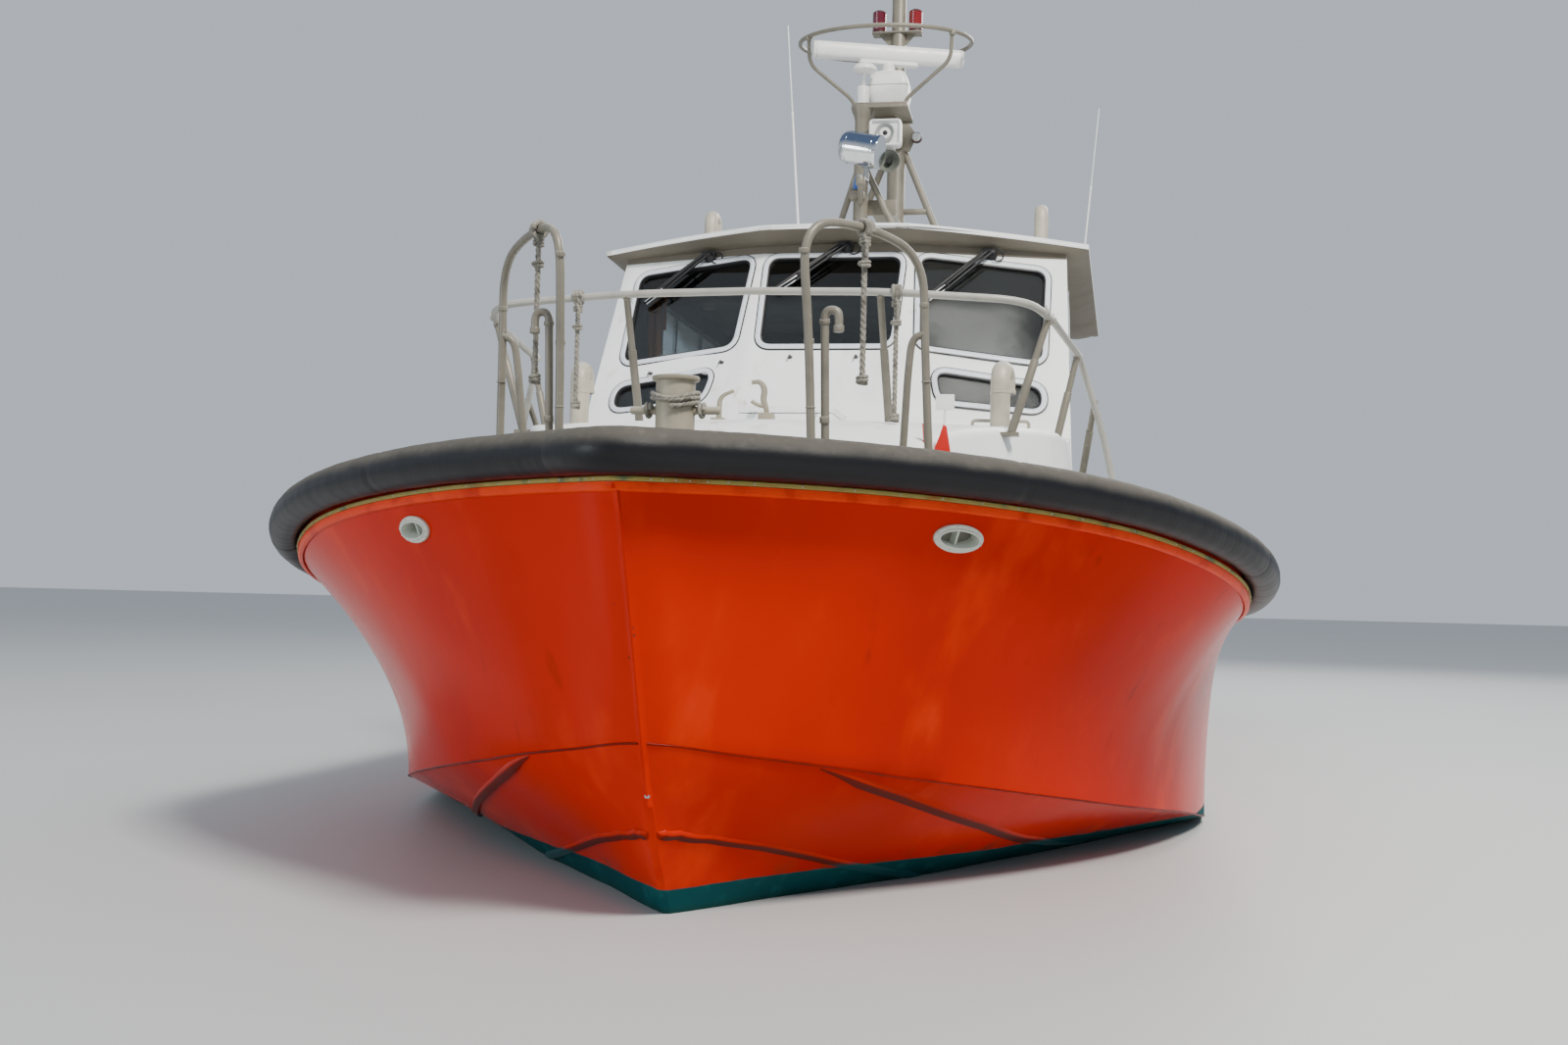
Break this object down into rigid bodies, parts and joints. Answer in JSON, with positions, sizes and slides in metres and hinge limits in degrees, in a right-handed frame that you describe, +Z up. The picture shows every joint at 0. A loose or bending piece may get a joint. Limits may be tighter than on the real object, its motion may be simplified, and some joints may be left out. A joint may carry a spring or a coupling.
{
  "type": "pilot boat",
  "caption": "Fast pilot boat with raked wheelhouse, fender belt, foredeck rails and hoops, radar mast, opening door and hatches, turning propellers and rudders.",
  "frame": {"origin": "on the waterline plane, on the centreline, 7.5 m aft of the point where the stem meets the water", "axes": "+X to port, +Y aft along the keel, +Z up"},
  "size_m": [6.0904, 17.4851, 9.01],
  "materials": {
    "hull_paint": "weathered orange-red gloss",
    "antifouling": "worn teal bottom paint",
    "fender_rubber": "chalky black rubber",
    "strip_metal": "tarnished, with green and rust streaks",
    "white_paint": "weathered white with rust runs",
    "beige_paint": "beige paint with chips",
    "white_plastic": "satin white",
    "dark_trim": "dull black",
    "window_glass": "dark tinted",
    "red_lens": "red lens",
    "blue_lens": "blue lens",
    "chrome": "polished",
    "bronze": "dull bronze",
    "steel": "satin",
    "rope_fibre": "weathered laid rope"
  },
  "bodies": {
    "boat": {"hull": "hull_paint", "fender": "fender_rubber", "fender_strip": "strip_metal", "foredeck_trunk": "white_paint", "wheelhouse_front": "white_paint", "wheelhouse_port": "white_paint", "wheelhouse_starboard": "white_paint", "wheelhouse_aft": "white_paint", "wheelhouse_roof": "white_paint", "wheelhouse_sole": "beige_paint", "glass_front_centre": "window_glass", "glass_front_port": "window_glass", "glass_front_starboard": "window_glass", "glass_low_port": "window_glass", "glass_low_starboard": "window_glass", "glass_side_port": "window_glass", "glass_side_starboard": "window_glass", "glass_aft_port": "window_glass", "glass_aft_starboard": "window_glass", "helm_console": "dark_trim", "bow_rail": "beige_paint", "boarding_hoop_port": "beige_paint", "boarding_hoop_starboard": "beige_paint", "bow_bitt": "beige_paint", "roof_vent": "beige_paint", "roof_vent_starboard": "beige_paint", "mast": "beige_paint", "radar_guard": "beige_paint", "radar_gearbox": "white_plastic", "horn_and_hailer": "white_plastic", "satellite_dome": "white_plastic", "whip_starboard": "white_plastic", "whip_port": "white_plastic", "wiper_starboard": "dark_trim", "wiper_centre": "dark_trim", "wiper_port": "dark_trim", "hoop_rope_port": "rope_fibre", "hoop_rope_starboard": "rope_fibre", "rail_rope_port": "rope_fibre", "rail_rope_starboard": "rope_fibre", "bitt_rope": "rope_fibre", "engine_casing": "white_paint", "aft_rail_port": "beige_paint", "aft_rail_starboard": "beige_paint", "stern_platform": "steel"},
    "propeller_port": {"propeller_port": "bronze"},
    "propeller_starboard": {"propeller_starboard": "bronze"},
    "rudder_port": {"rudder_port": "steel"},
    "rudder_starboard": {"rudder_starboard": "steel"},
    "radar_array": {"radar_array": "white_plastic"},
    "searchlight_yoke": {"searchlight_yoke": "steel"},
    "searchlight_drum": {"searchlight_drum": "chrome"},
    "door": {"wheelhouse_door": "white_paint", "door_glass": "window_glass"},
    "foredeck_hatch": {"foredeck_hatch": "white_paint"},
    "engine_hatch_port": {"engine_hatch_port": "white_paint"},
    "engine_hatch_starboard": {"engine_hatch_starboard": "white_paint"},
    "lazarette_hatch": {"lazarette_hatch": "white_paint"}
  },
  "joints": [
    {"name": "propeller_port_spin", "type": "hinge", "parent": "boat", "child": "propeller_port", "pos_m": [1.15, 7.45, -0.86], "axis": [0, 0.9858, -0.1678], "continuous": true},
    {"name": "propeller_starboard_spin", "type": "hinge", "parent": "boat", "child": "propeller_starboard", "pos_m": [-1.15, 7.45, -0.86], "axis": [0, 0.9858, -0.1678], "continuous": true},
    {"name": "rudder_port_turn", "type": "hinge", "parent": "boat", "child": "rudder_port", "pos_m": [1.15, 7.98, -0.5], "axis": [0, 0, 1], "range_deg": [-35, 35]},
    {"name": "rudder_starboard_turn", "type": "hinge", "parent": "boat", "child": "rudder_starboard", "pos_m": [-1.15, 7.98, -0.5], "axis": [0, 0, 1], "range_deg": [-35, 35]},
    {"name": "radar_spin", "type": "hinge", "parent": "boat", "child": "radar_array", "pos_m": [0.06, 0.07, 6.57], "axis": [0, 0, 1], "continuous": true},
    {"name": "searchlight_pan", "type": "hinge", "parent": "boat", "child": "searchlight_yoke", "pos_m": [-0.09, -0.61, 5.49], "axis": [0, 0, 1], "range_deg": [-170, 170]},
    {"name": "searchlight_tilt", "type": "hinge", "parent": "searchlight_yoke", "child": "searchlight_drum", "pos_m": [-0.09, -0.61, 5.49], "axis": [0.1736, 0.9848, 0], "range_deg": [-50, 25]},
    {"name": "door_swing", "type": "hinge", "parent": "boat", "child": "door", "pos_m": [-0.394, 1.668, 3.15], "axis": [0, 0, 1], "range_deg": [0, 110]},
    {"name": "foredeck_hatch_lift", "type": "hinge", "parent": "boat", "child": "foredeck_hatch", "pos_m": [0, -4.672, 2.668], "axis": [1, 0, 0], "range_deg": [0, 100]},
    {"name": "engine_hatch_port_lift", "type": "hinge", "parent": "boat", "child": "engine_hatch_port", "pos_m": [0.048, 3.85, 2.018], "axis": [0, -1, 0], "range_deg": [0, 80]},
    {"name": "engine_hatch_starboard_lift", "type": "hinge", "parent": "boat", "child": "engine_hatch_starboard", "pos_m": [-0.048, 3.85, 2.018], "axis": [0, 1, 0], "range_deg": [0, 80]},
    {"name": "lazarette_hatch_lift", "type": "hinge", "parent": "boat", "child": "lazarette_hatch", "pos_m": [0, 6.528, 1.628], "axis": [1, 0, 0], "range_deg": [0, 100]}
  ],
  "couplings": [
    {"joint": "rudder_starboard_turn", "follows": "rudder_port_turn", "ratio": 1}
  ]
}
